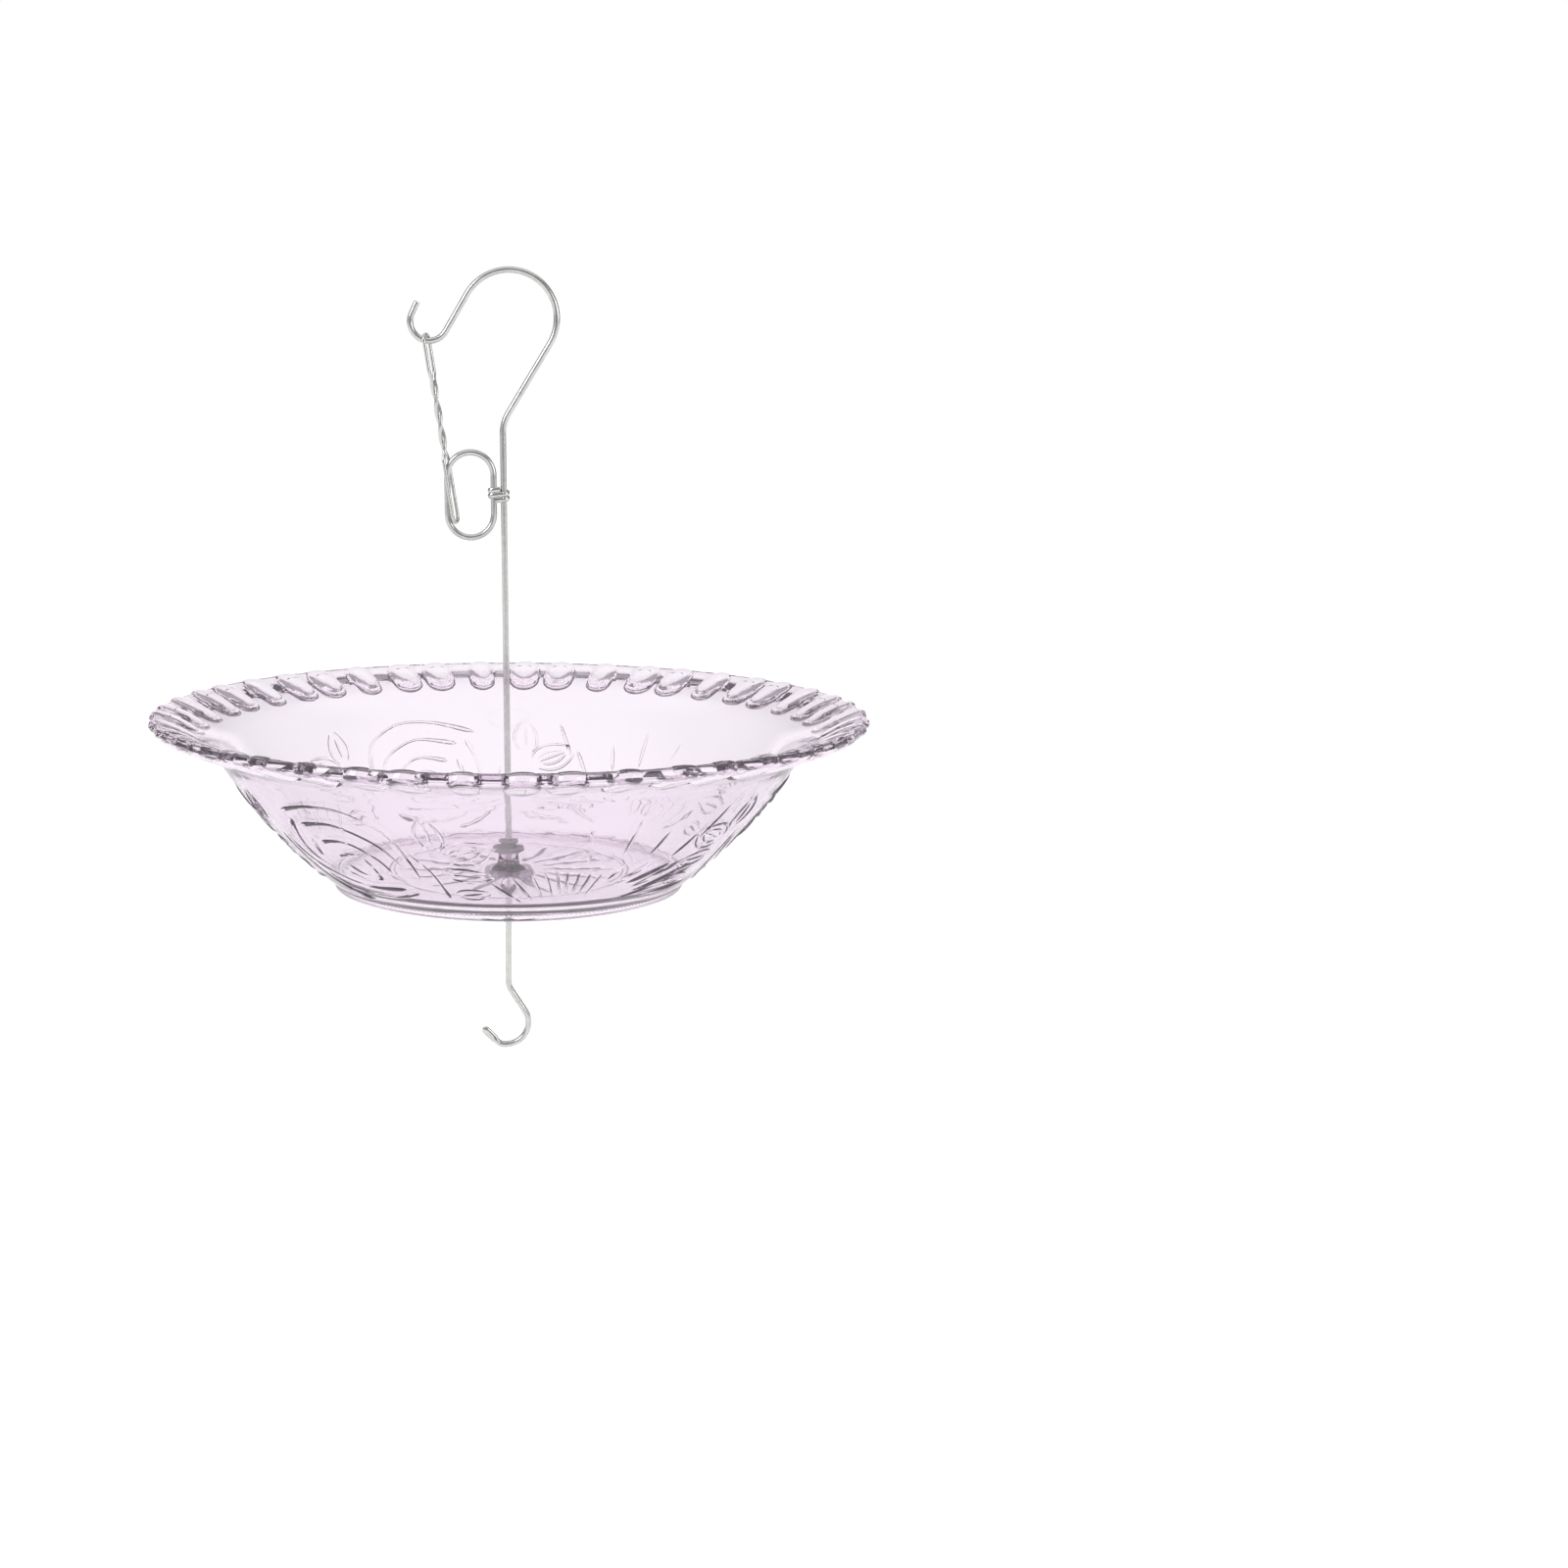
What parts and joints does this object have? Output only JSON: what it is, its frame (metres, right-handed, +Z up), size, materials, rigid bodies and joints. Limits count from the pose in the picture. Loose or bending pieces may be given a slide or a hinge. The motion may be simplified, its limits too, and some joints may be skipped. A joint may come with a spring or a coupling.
{
  "type": "hanging bird bath",
  "caption": "Hanging bird bath: a clear bowl with a beaded edge and pressed roses, carried on a bent wire hanger with a latched hook.",
  "frame": {"origin": "underside of the main hook's crest, where the bath hangs on its bracket or branch", "axes": "+Z up along the rod; +X away from the latch, in the plane of the hanger's hooks; +Y to the back"},
  "size_m": [0.3048, 0.3047, 0.3341],
  "materials": {
    "clear_lilac": "clear with a faint lilac tint, polished",
    "galvanised_wire": "dull galvanised",
    "dark_rubber": "matt",
    "smoke_clear": "clear, faintly smoky"
  },
  "bodies": {
    "hanger": {"hanger_wire": "galvanised_wire", "oval_ring": "galvanised_wire", "ferrule": "galvanised_wire", "sealing_washer": "dark_rubber", "retaining_collar": "dark_rubber", "support_spider": "smoke_clear"},
    "bowl": {"bowl": "clear_lilac"},
    "latch": {"latch_link": "galvanised_wire"}
  },
  "joints": [
    {"name": "bowl_turn", "type": "hinge", "parent": "hanger", "child": "bowl", "pos_m": [0, 0, -0.25], "axis": [0, 0, 1], "continuous": true},
    {"name": "latch_lift", "type": "slide", "parent": "hanger", "child": "latch", "axis": [0, 0, 1], "range_m": [0, 0.0085]}
  ]
}
